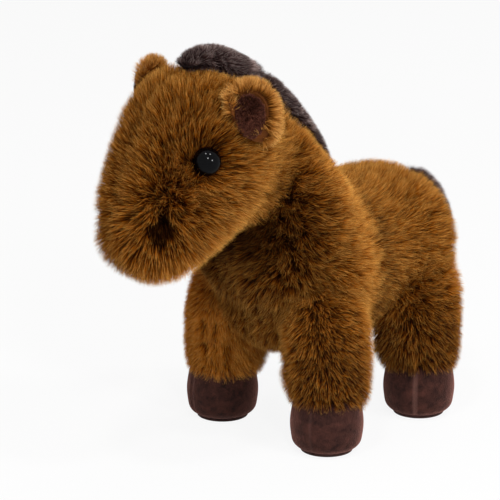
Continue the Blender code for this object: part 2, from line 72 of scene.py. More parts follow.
# %% Place the camera
azimuth, elevation = radians(43), radians(16)
back = Vector((sin(azimuth) * cos(elevation), -cos(azimuth) * cos(elevation), sin(elevation)))
right = Vector((cos(azimuth), sin(azimuth), 0))
up = back.cross(right)
stance_middle = Vector((0, 0.0364, 0.125))
distance = 1.8
place = stance_middle + back * distance
aim = stance_middle - right * 0.0460 - up * 0.0182
camera_data = bpy.data.cameras.new("camera")
camera_data.lens = 211.8
camera_data.sensor_width = 36
camera_data.clip_start = 0.05
camera = bpy.data.objects.new("camera", camera_data)
bpy.context.scene.collection.objects.link(camera)
camera.matrix_world = Matrix.Translation(place) @ (place - aim).to_track_quat("Z", "Y").to_matrix().to_4x4()
bpy.context.scene.camera = camera
print("camera at", camera.location)

# %% [markdown]
# ## Shader sums as Python
#
# A material's maths reads best as an expression, so one small class wraps a socket and turns
# +, -, * and / into Math nodes. Everything else comes from one method that adds a node.


# %% A socket that can be added and multiplied
class Value:
    """A shader socket with numbers on it, for use in expressions."""

    def __init__(self, shader, socket):
        self.shader = shader
        self.socket = socket

    def sum_with(self, operation, first, second):
        """Adds one Math node and returns its result."""
        return self.shader.add("Math", {"operation": operation}, {0: first, 1: second})

    def __add__(self, other):
        return self.sum_with("ADD", self, other)

    def __radd__(self, other):
        return self.sum_with("ADD", other, self)

    def __sub__(self, other):
        return self.sum_with("SUBTRACT", self, other)

    def __rsub__(self, other):
        return self.sum_with("SUBTRACT", other, self)

    def __mul__(self, other):
        return self.sum_with("MULTIPLY", self, other)

    def __rmul__(self, other):
        return self.sum_with("MULTIPLY", other, self)


class Shader:
    """A new material and the one method that adds nodes to it."""

    def __init__(self, name, roughness, **constants):
        self.material = bpy.data.materials.new(name)
        self.material.use_nodes = True
        self.tree = self.material.node_tree
        self.surface = self.tree.nodes["Principled BSDF"]
        self.surface.inputs["Roughness"].default_value = roughness
        for socket_name, number in constants.items():
            self.surface.inputs[socket_name.replace("_", " ")].default_value = number

    def add(self, kind, settings, inputs, output=0):
        """Adds a node: its settings first, then the values or links of its sockets."""
        node = self.tree.nodes.new(f"ShaderNode{kind}")
        for name, setting in settings.items():
            setattr(node, name, setting)
        self.fill(node, inputs)
        return Value(self, node.outputs[output])

    def fill(self, node, inputs):
        """Sets or links sockets, which are named or numbered."""
        for name, given in inputs.items():
            if isinstance(given, Value):
                self.tree.links.new(given.socket, node.inputs[name])
            else:
                node.inputs[name].default_value = given

    def ramp(self, factor, stops):
        """A colour that changes with a factor through stops of place and colour."""
        node = self.tree.nodes.new("ShaderNodeValToRGB")
        elements = node.color_ramp.elements
        while len(elements) < len(stops):
            elements.new(0.5)
        for element, (place, colour) in zip(elements, stops):
            element.position = place
            element.color = (*colour, 1)
        self.fill(node, {"Fac": factor})
        return Value(self, node.outputs["Color"])

    def blend(self, factor, first, second):
        """Mixes two colours."""
        settings = {"data_type": "RGBA"}
        return self.add("Mix", settings, {0: factor, 6: first, 7: second}, output=2)

    def finish(self, colour, bump=None, strength=0.5, distance=millimetre):
        """Feeds the surface and returns the material."""
        self.fill(self.surface, {"Base Color": colour})
        if bump is not None:
            settings = {"Strength": strength, "Distance": distance, "Height": bump}
            self.fill(self.surface, {"Normal": self.add("Bump", {}, settings)})
        return self.material


def srgb(red, green, blue):
    """A colour as a screen shows it, from 0 to 255, as the linear colour that a shader uses."""
    shares = np.array((red, green, blue)) / 255
    linear = np.where(shares <= 0.04045, shares / 12.92, ((shares + 0.055) / 1.055) ** 2.4)
    return tuple(float(channel) for channel in linear)


# %% [markdown]
# ## The finish of the pile
#
# Each strand is dark at its root and light at its tip, and no two tufts are quite alike. Both are stored in
# the strand's own UV map: across it runs the strand's shade, along it the way from root to tip. The material
# only reads that map, so it is quick.


# %% Make the materials of the strands
def pile_finish(name, dark, light):
    """The finish of strands, from the colours of a dark strand and of a light one."""
    shader = Shader(name, 0.6, Specular_IOR_Level=0.06)
    strand = shader.add("UVMap", {"uv_map": "OFBake"}, {})
    shade = shader.add("SeparateXYZ", {}, {0: strand}, output=0)
    along = shader.add("SeparateXYZ", {}, {0: strand}, output=1)
    return shader.finish(shader.blend(shade, shader.ramp(along, dark), shader.ramp(along, light)))


# Each ramp runs from a dark root to a light tip: partly the pile's own colour, partly painted shade deep in
# the pile between the strands.
brown_strands = pile_finish(
    "brown_strands",
    dark=[(0.0, srgb(12, 2, 0)), (0.6, srgb(24, 6, 0)), (1.0, srgb(54, 20, 0))],
    light=[
        (0.0, srgb(22, 5, 0)), (0.4, srgb(84, 36, 0)),
        (0.7, srgb(188, 103, 14)), (1.0, srgb(255, 192, 96)),
    ],
)
ear_strands = pile_finish(
    "ear_strands",
    dark=[(0.0, srgb(50, 22, 4)), (0.5, srgb(118, 66, 18)), (1.0, srgb(180, 116, 44))],
    light=[(0.0, srgb(100, 50, 12)), (0.5, srgb(204, 132, 54)), (1.0, srgb(255, 204, 118))],
)
dark_strands = pile_finish(
    "dark_strands",
    dark=[(0.0, srgb(16, 9, 9)), (0.5, srgb(30, 19, 19)), (1.0, srgb(62, 44, 44))],
    light=[
        (0.0, srgb(42, 24, 22)), (0.5, srgb(82, 56, 52)),
        (0.8, srgb(150, 126, 120)), (1.0, srgb(240, 224, 216)),
    ],
)
lining_strands = pile_finish(
    "lining_strands",
    dark=[(0.0, srgb(24, 8, 5)), (1.0, srgb(66, 34, 25))],
    light=[(0.0, srgb(42, 16, 10)), (1.0, srgb(126, 76, 60))],
)
print("materials of the strands made")

# %% [markdown]
# ## Skins
#
# Under the pile lies the cloth that it is woven into. Its shape comes from the solids: a part's
# cover and core are copied together, a voxel remesh melts them into one closed form, and the
# form is smoothed and drawn in by the depth of the pile. One form without seams lets the pile
# run on from the neck to the body.


# %% Melt solids into a skin
depth_step = 0.003
puffing_steps = 20
farthest_puff = 0.005


def points_of(mesh):
    """The places of a mesh's points as one array."""
    places = np.empty(len(mesh.vertices) * 3, np.float32)
    mesh.vertices.foreach_get("co", places)
    return places.reshape(-1, 3)


def normals_of(mesh):
    """The normals at a mesh's points as one array."""
    normals = np.empty(len(mesh.vertices) * 3, np.float32)
    mesh.vertex_normals.foreach_get("vector", normals)
    return normals.reshape(-1, 3)


def tree_of(mesh):
    """A search tree of a mesh's faces."""
    corners = [face.vertices[:] for face in mesh.polygons]
    return BVHTree.FromPolygons([point.co for point in mesh.vertices], corners)


def depth_in(tree, places, reach=0.03):
    """How deep each place lies inside a closed skin; below zero outside it and far from it."""
    depths = np.full(len(places), -reach)
    for index, place in enumerate(places.tolist()):
        nearest, normal, _, distance = tree.find_nearest(place, reach)
        if nearest is None:
            continue
        depth = (nearest - Vector(place)).dot(normal)
        if abs(depth) < distance * 0.99:
            # The nearest point is on an edge, so the face that looks at the place most is asked.
            beside_edge = tree.find_nearest_range(place, distance * 1.001 + millimetre * 0.01)
            depths_there = ((near - Vector(place)).dot(way) for near, way, _, _ in beside_edge)
            depth = max(depths_there, key=abs, default=depth)
        depths[index] = depth
    return depths


def changed_by(mesh, kind, **settings):
    """A copy of a mesh with one modifier applied."""
    block = bpy.data.objects.new(mesh.name, mesh)
    bpy.context.scene.collection.objects.link(block)
    modifier = block.modifiers.new("change", kind)
    for name, setting in settings.items():
        setattr(modifier, name, setting)
    whole = block.evaluated_get(bpy.context.evaluated_depsgraph_get())
    changed = bpy.data.meshes.new_from_object(whole)
    bpy.data.objects.remove(block)
    return changed


def remeshed(name, nodes, voxel):
    """CAD nodes melted into one closed mesh."""
    bm = bmesh.new()
    for node in nodes:
        bm.from_mesh(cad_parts[node].data)
    bmesh.ops.remove_doubles(bm, verts=bm.verts, dist=millimetre * 0.01)
    mesh = bpy.data.meshes.new(name)
    bm.to_mesh(mesh)
    bm.free()
    return changed_by(mesh, "REMESH", mode="VOXEL", voxel_size=voxel)


def smooth(mesh, rounds):
    """Evens out a mesh, each point towards the middle of its neighbours."""
    bm = bmesh.new()
    bm.from_mesh(mesh)
    for _ in range(rounds):
        bmesh.ops.smooth_vert(
            bm, verts=bm.verts, factor=0.5, use_axis_x=True, use_axis_y=True, use_axis_z=True
        )
    bm.to_mesh(mesh)
    bm.free()


def cut_away(mesh, unwanted):
    """Takes the marked points and their faces out of a mesh."""
    bm = bmesh.new()
    bm.from_mesh(mesh)
    bm.verts.ensure_lookup_table()
    marked = [bm.verts[number] for number in np.flatnonzero(unwanted).tolist()]
    bmesh.ops.delete(bm, geom=marked, context="VERTS")
    bm.to_mesh(mesh)
    bm.free()


def settle(mesh, solid, depth):
    """Moves a mesh's points square to its surface until they lie at a depth below a solid's."""
    places, normals = points_of(mesh), normals_of(mesh)
    wanted = depth(places) if callable(depth) else depth
    steps = np.clip(depth_in(solid, places) - wanted, -depth_step, depth_step)
    mesh.vertices.foreach_set("co", (places + normals * steps[:, None]).ravel())
    mesh.update()


def puffed(mesh):
    """A mesh as its filling swells it: a cloth under pressure, each point kept near its start."""
    start = points_of(mesh)
    bag = bpy.data.objects.new("bag", mesh)
    bpy.context.scene.collection.objects.link(bag)
    cloth = bag.modifiers.new("cloth", "CLOTH").settings
    cloth.quality = 4
    cloth.use_pressure = True
    cloth.uniform_pressure_force = 4
    cloth.effector_weights.gravity = 0
    for step in range(1, puffing_steps + 1):
        bpy.context.scene.frame_set(step)
    swollen = points_of(bag.evaluated_get(bpy.context.evaluated_depsgraph_get()).data)
    bpy.context.scene.frame_set(1)
    bpy.data.objects.remove(bag)
    moves = swollen - start
    lengths = np.linalg.norm(moves, axis=1, keepdims=True)
    print("the filling moves the cloth by", round(float(lengths.mean()) * 1000, 2), "mm")
    moves *= np.minimum(1, farthest_puff / np.maximum(lengths, 1e-9))
    mesh.vertices.foreach_set("co", (start + moves).ravel())
    mesh.update()
    return mesh


def thick_form(name, nodes, voxel, depth, rounds):
    """CAD nodes melted into one closed form, puffed up and drawn in by the depth of the pile."""
    mesh = remeshed(name, nodes, voxel)
    solid = tree_of(mesh)
    smooth(mesh, rounds)
    settle(mesh, solid, depth)
    mesh = changed_by(puffed(mesh), "SUBSURF", levels=1, render_levels=1)
    for _ in range(2):
        settle(mesh, solid, depth)
        smooth(mesh, 1)
    return mesh


def thin_form(name, nodes, voxel, depth, rounds=3):
    """CAD nodes melted into one closed form and simply drawn in, for forms too thin to puff."""
    mesh = remeshed(name, nodes, voxel)
    smooth(mesh, rounds)
    mesh.vertices.foreach_set("co", (points_of(mesh) - normals_of(mesh) * depth).ravel())
    smooth(mesh, 2)
    return mesh


def new_skin(name, mesh, nodes, material):
    """A skin that stands for CAD nodes and hides them."""
    mesh.name = name
    mesh.shade_smooth()
    mesh.materials.clear()
    mesh.materials.append(material)
    skin = bpy.data.objects.new(name, mesh)
    bpy.context.scene.collection.objects.link(skin)
    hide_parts(*nodes)
    print(name, "has", len(mesh.polygons), "faces")
    return skin


def cloth_finish(name, dark, light):
    """The woven backing between the roots: mottled, with a fine bump."""
    shader = Shader(name, 0.9, Specular_IOR_Level=0.1)
    place = shader.add("TexCoord", {}, {}, output=3)
    mottle = shader.add("TexNoise", {}, {"Vector": place, "Scale": 260.0, "Detail": 4.0})
    weave = shader.add("TexNoise", {}, {"Vector": place, "Scale": 1500.0, "Detail": 2.0})
    return shader.finish(shader.blend(mottle, (*dark, 1), (*light, 1)), weave, 0.6, 0.4 * millimetre)


brown_cloth = cloth_finish("brown_cloth", srgb(26, 11, 4), srgb(58, 28, 10))
dark_cloth = cloth_finish("dark_cloth", srgb(14, 9, 9), srgb(36, 25, 24))
ear_cloth = cloth_finish("ear_cloth", srgb(60, 30, 10), srgb(110, 62, 24))
lining_cloth = cloth_finish("lining_cloth", srgb(24, 8, 5), srgb(56, 28, 20))

legs = ["front_left_leg", "front_right_leg", "hind_left_leg", "hind_right_leg"]
trunk_nodes = ["body_cover", "body_stuffing", "neck_cover", "neck_stuffing"]
limb_nodes = [f"{part}_{layer}" for part in ["head", *legs] for layer in ("cover", "stuffing")]


def pile_depth(places):
    """The depth of the pile: less on the legs than on the trunk and head."""
    return np.interp(places[:, 2], (0.070, 0.105), (0.0075, 0.0100))


trunk_form = thick_form("trunk_form", trunk_nodes, 0.0045, pile_depth, rounds=6)
whole_form = thick_form("whole_form", trunk_nodes + limb_nodes, 0.0042, pile_depth, rounds=3)
trunk_tree, whole_tree = tree_of(trunk_form), tree_of(whole_form)
trunk_skin = new_skin("trunk_skin", trunk_form, trunk_nodes, brown_cloth)

# %% [markdown]
# ## The skins of the head and the legs
#
# The head and the legs move against the trunk, so each needs a skin of its own. All five are
# cut out of one form that is melted from all the solids, so that they meet the trunk in soft
# creases, as sewn parts do. A point goes to the part that it lies deepest in. Each skin also
# runs on a little way over the trunk, so that no gap opens along the crease.

# %% Cut the skins of head and legs out of the whole
limb_solids = {
    part: tree_of(remeshed(part, [f"{part}_cover", f"{part}_stuffing"], 0.004))
    for part in ["head", *legs]
}
trunk_solid = tree_of(remeshed("trunk", trunk_nodes, 0.004))
form_places = points_of(whole_form)
limb_depths = {limb: depth_in(tree, form_places) for limb, tree in limb_solids.items()}
trunk_depths = depth_in(trunk_solid, form_places)
outside_trunk = depth_in(trunk_tree, form_places, 0.012) < -0.0006


def new_limb_skin(part, overlap):
    """The skin of the head or a leg: the whole outside the trunk's skin and nearest to the limb."""
    others = [limb_depths[limb] for limb in limb_depths if limb != part] + [trunk_depths - overlap]
    mesh = whole_form.copy()
    cut_away(mesh, ~(outside_trunk & (limb_depths[part] > np.max(others, axis=0))))
    return new_skin(f"{part}_skin", mesh, [f"{part}_cover", f"{part}_stuffing"], brown_cloth)


leg_overlap = 0.020
head_overlap = np.interp(form_places[:, 2], (0.150, 0.166), (0.0, 0.060))
head_skin = new_limb_skin("head", head_overlap)
leg_skins = {leg: new_limb_skin(leg, leg_overlap) for leg in legs}

# %% [markdown]
# ## Growing pile
#
# A strand is a thin blade of three triangles that narrows to its tip. It starts in the
# skin, leans the way that the pile was brushed, and bends over towards its tip. Strands stand
# in tufts, as real pile does, because neighbours cling together: each strand's tip is drawn
# towards the tip of its tuft's middle strand. Two kinds of fibre are mixed, pale ones and
# thinner dark ones. The blades are worked out all at once as arrays, since no modelling operator
# makes a hundred thousand of them.


# %% Spread the roots over a skin
def unit(vectors):
    """Vectors of length one."""
    return vectors / np.maximum(np.linalg.norm(vectors, axis=1, keepdims=True), 1e-9)


def across(vectors, normals):
    """The part of each vector that lies along the surface, with length one."""
    along_normal = (vectors * normals).sum(1, keepdims=True)
    return unit(vectors - normals * along_normal)


def spread(mesh, count, chance):
    """Places spread evenly over a mesh, with the surface's normals there."""
    mesh.calc_loop_triangles()
    corners = np.empty(len(mesh.loop_triangles) * 3, np.int32)
    mesh.loop_triangles.foreach_get("vertices", corners)
    corners = corners.reshape(-1, 3)
    places, normals = points_of(mesh), normals_of(mesh)
    first, second, third = (places[corners[:, column]] for column in range(3))
    areas = np.linalg.norm(np.cross(second - first, third - first), axis=1)
    ends = np.cumsum(areas.astype(float))
    picked = np.searchsorted(ends / ends[-1], (np.arange(count) + chance.random(count)) / count)
    chance.shuffle(picked)
    side, turn = np.sqrt(chance.random(count)), chance.random(count)
    weights = np.stack((1 - side, side * (1 - turn), side * turn), axis=1)[:, :, None]
    chosen = corners[picked]
    return (places[chosen] * weights).sum(1), unit((normals[chosen] * weights).sum(1))


def area_of(mesh):
    """The area of a mesh in square centimetres."""
    return sum(face.area for face in mesh.polygons) * 1e4


# %% Bunch the strands into tufts
def tufts_of(roots, strands_in_a_tuft):
    """For each strand, the number of the strand in the middle of its tuft."""
    middles = np.arange(0, len(roots), strands_in_a_tuft)
    tree = KDTree(len(middles))
    for number in middles.tolist():
        tree.insert(roots[number], number)
    tree.balance()
    return np.array([tree.find(root)[1] for root in roots.tolist()])


def mottle_at(places, size, seed):
    """A soft random number, about -1 to 1, at each place."""
    shift = Vector((seed, seed * 0.7, -seed))
    return np.array([noise.noise(Vector(place) / size + shift) for place in places.tolist()])


def fading(offset, width):
    """One at a place, and fading to nothing beyond a width from it."""
    return np.exp(-((offset / width) ** 2))


pale_share = 0.4
contrast = 0.68
hidden_depth = 0.005
tufts_in_a_lock = 12


# %% Build the blades
def blade_mesh(name, points, sideways, shades):
    """A mesh of blades from three points a strand, half its width sideways and its shade."""
    count = len(shades)
    low, middle, tip = points
    corners = np.stack(
        (low - sideways, low + sideways, middle - sideways * 0.8, middle + sideways * 0.8, tip), axis=1
    )
    pattern = np.array((0, 1, 3, 0, 3, 2, 2, 3, 4))
    faces = (np.arange(count)[:, None] * 5 + pattern).ravel().astype(np.int32)
    mesh = bpy.data.meshes.new(name)
    mesh.vertices.add(count * 5)
    mesh.vertices.foreach_set("co", corners.astype(np.float32).ravel())
    mesh.loops.add(len(faces))
    mesh.loops.foreach_set("vertex_index", faces)
    mesh.polygons.add(len(faces) // 3)
    mesh.polygons.foreach_set("loop_start", np.arange(0, len(faces), 3, dtype=np.int32))
    mesh.update(calc_edges=True)
    shade_width = 0.01
    sides = np.array((0, 1, 0, 1, 0.5)) * shade_width
    heights = np.array((0, 0, 0.55, 0.55, 1))
    across_map = (np.clip(shades, 0, 1 - shade_width)[:, None] + sides)[:, pattern % 5]
    along_map = np.broadcast_to(heights[pattern % 5], across_map.shape)
    strand_map = mesh.uv_layers.new(name="OFBake")
    strand_map.data.foreach_set("uv", np.stack((across_map, along_map), axis=2).astype(np.float32).ravel())
    return mesh


def grow(
    name, skin, flow, material,
    length, density, lean, bend=14, width=0.00026, tuft=5, cling=0.32,
    shade=0.57, mottle=0.08, seed=1, hidden_in=None, trim=None, pieces=1,
):
    """Pile on a skin; flow gives the way and strength of its brushing, trim may change each strand."""
    chance = np.random.default_rng(seed)
    count = int(area_of(skin.data) * density)
    roots, normals = spread(skin.data, count, chance)
    if hidden_in:
        keep = depth_in(hidden_in, roots) < hidden_depth
        roots, normals = roots[keep], normals[keep]
        count = len(roots)
    lengths = (length(roots) if callable(length) else length) * (0.90 + 0.13 * chance.random(count))
    leans = np.radians(lean + 9 * chance.standard_normal(count))
    shades = shade + mottle * (mottle_at(roots, 0.016, seed) + mottle_at(roots, 0.005, seed + 50))
    pale = chance.random(count) < pale_share
    shades += np.where(pale, contrast * (1 - pale_share), -contrast * pale_share)
    widths = width * np.where(pale, 1.25, 0.9)
    settings = {"lengths": lengths, "leans": leans, "shades": shades, "keep": np.ones(count, bool)}
    if trim:
        trim(roots, normals, settings)
    keep = settings["keep"]
    roots, normals, widths = roots[keep], normals[keep], widths[keep]
    lengths, leans, shades = (settings[key][keep] for key in ("lengths", "leans", "shades"))
    count = len(roots)
    locks = tufts_of(roots, tuft * tufts_in_a_lock)
    stray = 0.25 * chance.standard_normal((count, 3)) + 0.25 * chance.standard_normal((count, 3))[locks]
    brushed = across(flow(roots, normals) + stray, normals)
    leans += radians(4) * chance.standard_normal(count)[locks]
    leans = np.clip(leans, 0, 1.45)[:, None]
    bends = np.clip(leans + radians(bend), 0, 1.5)
    lower = normals * np.cos(leans) + brushed * np.sin(leans)
    upper = normals * np.cos(bends) + brushed * np.sin(bends)
    middles = roots + lower * lengths[:, None] * 0.55
    tips = middles + upper * lengths[:, None] * 0.45
    centres = tufts_of(roots, tuft)
    tips += (tips[centres] - tips) * cling
    middles += (middles[centres] - middles) * cling * 0.35
    shades = shades + 0.09 * chance.standard_normal(count)[centres]
    shades = shades + 0.04 * chance.standard_normal(count)[locks]
    facing_ways = unit(normals + 0.8 * chance.standard_normal((count, 3)))
    sideways = unit(np.cross(tips - roots, facing_ways)) * widths[:, None] / 2
    parts = []
    for number in range(pieces):
        some = slice(number, None, pieces)
        points = (roots[some], middles[some], tips[some])
        piece_name = name if pieces == 1 else f"{name}_{number + 1}"
        mesh = blade_mesh(piece_name, points, sideways[some], shades[some])
        mesh.materials.append(material)
        piece = bpy.data.objects.new(piece_name, mesh)
        bpy.context.scene.collection.objects.link(piece)
        parts.append(piece)
    print(name, "has", count, "strands")
    return parts


# %% [markdown]
# ## Head
#
# The pile of the face is brushed away from the middle of each cheek in all directions. It is darker round
# the nostrils, where it is dyed and clipped shorter, and it is parted round the eyes, so that the domes stay
# clear. Under the jaw it carries painted light, and in the crease at the neck painted shade.

# %% Grow the pile of the head
eye_clearing = 0.0135
eye_hole = 0.0091
eye_depth = 0.0070
eye_out = {side: Vector((x_sign * 0.790, -0.602, 0.116)) for side, x_sign in (("left", 1), ("right", -1))}
eye_middles = {}
for side, out in eye_out.items():
    eye_points = np.array([point.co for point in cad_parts[f"eye_{side}"].data.vertices])
    heights = eye_points @ np.array(out)
    eye_middles[side] = Vector(eye_points[heights.argmax()]) - out * eye_depth
head_low, head_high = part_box("head_cover")
head_middle = (head_low + head_high) / 2
mane_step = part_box("mane_poll")[1].y
strip_trees = {node: tree_of(remeshed(node, [node], 0.0016)) for node in ("mane_crest", "mane_poll", "tail")}
cheeks = [np.array((x_sign * 0.0257, -0.1234, 0.1724)) for x_sign in (-1, 1)]
nostrils = [np.array((x_sign * 0.0214, -0.1298, 0.1474)) for x_sign in (-1, 1)]
lips = [np.array((x_sign * 0.0241, -0.1227, 0.1384)) for x_sign in (-1, 1)]


def away_from(places, middles, calm):
    """Away from a middle, and weaker within a calm distance of it."""
    offsets = places - middles
    distances = np.linalg.norm(offsets, axis=1, keepdims=True)
    return offsets / np.maximum(distances, 1e-6) * np.clip(distances / calm, 0.1, 1)


def beside(places, spot):
    """The distance of each place from the line that runs out of the head through a spot."""
    out = np.array((Vector(spot) - head_middle).normalized())
    offsets = places - spot
    return np.linalg.norm(offsets - (offsets @ out)[:, None] * out, axis=1)


def part_at(node, places, normals, settings):
    """Clips the pile beside and under a strip of mane or tail."""
    tips = places + normals * settings["lengths"][:, None] * 0.85
    near = np.clip((0.016 + depth_in(strip_trees[node], tips, 0.017)) / 0.009, 0, 1)
    settings["lengths"] *= 1 - 0.28 * near


def fill_under_step(places, normals, settings):
    """Lengthens the pile under the step between the two strips of mane."""
    near = fading(places[:, 1] - mane_step - 0.002, 0.009)
    near = near * np.clip(1 - np.abs(places[:, 0]) / 0.022, 0, 1)
    settings["lengths"] *= 1 + 0.9 * near * np.clip(normals[:, 2] * 2 - 0.4, 0, 1)


def face_flow(places, normals):
    """Away from the middle of each cheek, and away from the eyes close to them."""
    flow = away_from(places, np.where(places[:, :1] < 0, *cheeks), 0.034)
    for middle in eye_middles.values():
        offset = places - np.array(middle)
        near = np.exp(-((np.linalg.norm(offset, axis=1) / eye_clearing) ** 4))
        flow = flow + unit(offset) * near[:, None] * 3
    return flow


def trim_face(places, normals, settings):
    """Dyes and clips the pile round the nostrils, darkens it a little below them, paints light under the jaw
    and shade in the crease at the neck, and lays it flat round the eyes.
    """
    from_cheek = np.min([np.linalg.norm(places - cheek, axis=1) for cheek in cheeks], axis=0)
    settings["leans"] *= np.interp(from_cheek, (0.012, 0.045), (0.5, 1))
    rough = 0.002 * mottle_at(places, 0.005, 9)
    tips = places + across(face_flow(places, normals), normals) * 0.0045
    # The nostrils are dyed; the spots below them are only made a little darker.
    dyed = [(nostril, 0.0080, 0.95) for nostril in nostrils] + [(lip, 0.0060, 0.20) for lip in lips]
    for spot, reach, darkening in dyed:
        near = np.clip((reach - beside(tips, spot) + rough) / 0.003, 0, 1)
        settings["shades"] -= darkening * near
        settings["lengths"] *= 1 - 0.30 * darkening * near
        settings["leans"] *= 1 - 0.4 * near
    # Painted light under the jaw, as on a lit rim over the dark chest.
    under = np.clip(normals @ jaw_light_way * 1.6 - 0.3, 0, 1)
    settings["shades"] += 0.35 * under
    settings["lengths"] *= 1 + 0.08 * np.clip(-normals[:, 2] * 2, 0, 1)
    # Painted shade in the crease where the head meets the neck; the pile there is also clipped.
    crease = np.clip(1 + depth_in(trunk_tree, places, 0.014) / 0.012, 0, 1)
    crease *= np.clip((0.156 - places[:, 2]) / 0.016, 0, 1)
    settings["shades"] -= 0.75 * crease
    settings["lengths"] *= 1 - 0.30 * crease
    part_at("mane_poll", places, normals, settings)
    fill_under_step(places, normals, settings)
    for middle in eye_middles.values():
        distance = np.linalg.norm(places - np.array(middle), axis=1)
        near = np.clip((eye_clearing - distance) / 0.004, 0, 1)
        settings["lengths"] *= 1 - 0.36 * near
        settings["leans"] += radians(20) * near
        settings["keep"] &= distance > eye_hole


jaw_light_way = np.array((0, 0.6, -0.8))
full_density = 400


def brown_length(places):
    """Strands long enough to reach a little out of the solids' surface."""
    reach = np.interp(places[:, 1], (-0.085, -0.065, 0.085, 0.110), (1.52, 1.46, 1.46, 1.34))
    return pile_depth(places) * reach


head_pile = grow(
    "head_pile", head_skin, face_flow, brown_strands,
    length=brown_length, density=full_density, lean=23, seed=3, shade=0.52, trim=trim_face, pieces=3,
)
for piece in [head_skin, *head_pile]:
    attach(piece, "head")

# %% [markdown]
# ## Trunk
#
# The pile of the trunk stands up nearly straight. It is brushed away from each shoulder: up the
# neck, forward over the chest, and back over the barrel and the rump. Where the strands point
# at the eye, the dark gaps between them show. Where a form turns away, only their light tips do.


# %% Grow the pile of the trunk
# Places where shade or light is painted into the trunk's pile.
throat = np.array((0.028, -0.045, 0.137))
withers_y_z = (-0.004, 0.172)
side_ridge_y = 0.012
side_valley_y = 0.036


def shoulder_of(places):
    """The nearest place on an upright line through the shoulder, from which the pile is brushed away."""
    upright = np.clip(places[:, 2], 0.118, 0.185)
    across_body = np.where(places[:, 0] < 0, -0.036, 0.036)
    return np.stack((across_body, np.full(len(places), -0.037), upright), axis=1)


def trunk_flow(places, normals):
    """Away from the shoulder."""
    return away_from(places, shoulder_of(places), 0.040)


def trim_trunk(places, normals, settings):
    """Clips the pile beside the mane and the tail, paints shade beside the head, at the throat, on the
    chest, behind the shoulder and low on the flank, and paints light on the shoulder's ridge.
    """
    from_shoulder = np.linalg.norm(places - shoulder_of(places), axis=1)
    settings["leans"] *= np.interp(from_shoulder, (0.012, 0.055), (0.5, 1))
    for node in ("mane_crest", "tail"):
        part_at(node, places, normals, settings)
    # Painted shade beside the head, under the jaw; the pile there is also clipped a little.
    head_gap = -depth_in(limb_solids["head"], places, 0.036)
    shade_beside_head = np.clip(1 - head_gap / 0.034, 0, 1) * np.clip((0.168 - places[:, 2]) / 0.030, 0, 1)
    settings["lengths"] *= 1 - 0.20 * shade_beside_head
    settings["shades"] -= 0.66 * shade_beside_head
    sideways = np.abs(places[:, 0])
    from_throat = np.stack((sideways, places[:, 1], places[:, 2]), axis=1) - throat
    # Painted shade at the throat, under the head.
    settings["shades"] -= 0.44 * fading(np.linalg.norm(from_throat, axis=1), 0.034)
    # Painted shade in the valley behind the shoulder, painted light on the ridge in front of it.
    at_side = np.clip(sideways / 0.015 - 1, 0, 1)
    painted_valley_shade = fading(places[:, 1] - side_valley_y, 0.009)
    painted_ridge_light = fading(places[:, 1] - side_ridge_y, 0.012)
    settings["shades"] += at_side * (0.20 * painted_ridge_light - 0.30 * painted_valley_shade)
    # Painted shade low on the flank, towards the crease above the hind leg; the pile there is also clipped.
    flank = np.clip((0.112 - places[:, 2]) / 0.020, 0, 1) * np.clip(places[:, 1] / 0.02 - 2, 0, 1)
    settings["shades"] -= 0.14 * flank
    # Painted shade on the chest, under the head.
    chest = np.clip(-normals[:, 1] * 1.6 - 0.4, 0, 1) * np.clip((0.160 - places[:, 2]) / 0.020, 0, 1)
    settings["shades"] -= 0.22 * chest
    fill_under_step(places, normals, settings)
    withers = fading(np.linalg.norm(places[:, 1:] - withers_y_z, axis=1), 0.016)
    settings["lengths"] *= 1 - 0.24 * withers - 0.10 * flank


trunk_pile = grow(
    "trunk_pile", trunk_skin, trunk_flow, brown_strands,
    length=brown_length, density=full_density, lean=28, seed=5, pieces=4, trim=trim_trunk,
    hidden_in=whole_tree,
)
for piece in [trunk_skin, *trunk_pile]:
    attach(piece, "torso")

# %% [markdown]
# ## Legs
#
# The pile is brushed down and hangs over the top of the hoof as a ragged fringe.

# %% Grow the pile of the legs
mid_body = 0.035
hem_height = 0.036


def leg_flow(places, normals):
    """Away from the shoulder or hip, which is down on most of the leg."""
    across_body = np.where(places[:, 0] < 0, -1, 1)
    hips = np.where(places[:, 1:2] < mid_body, (0.036, -0.037, 0.123), (0.030, 0.070, 0.082))
    hips[:, 0] *= across_body
    return away_from(places, hips, 0.030)


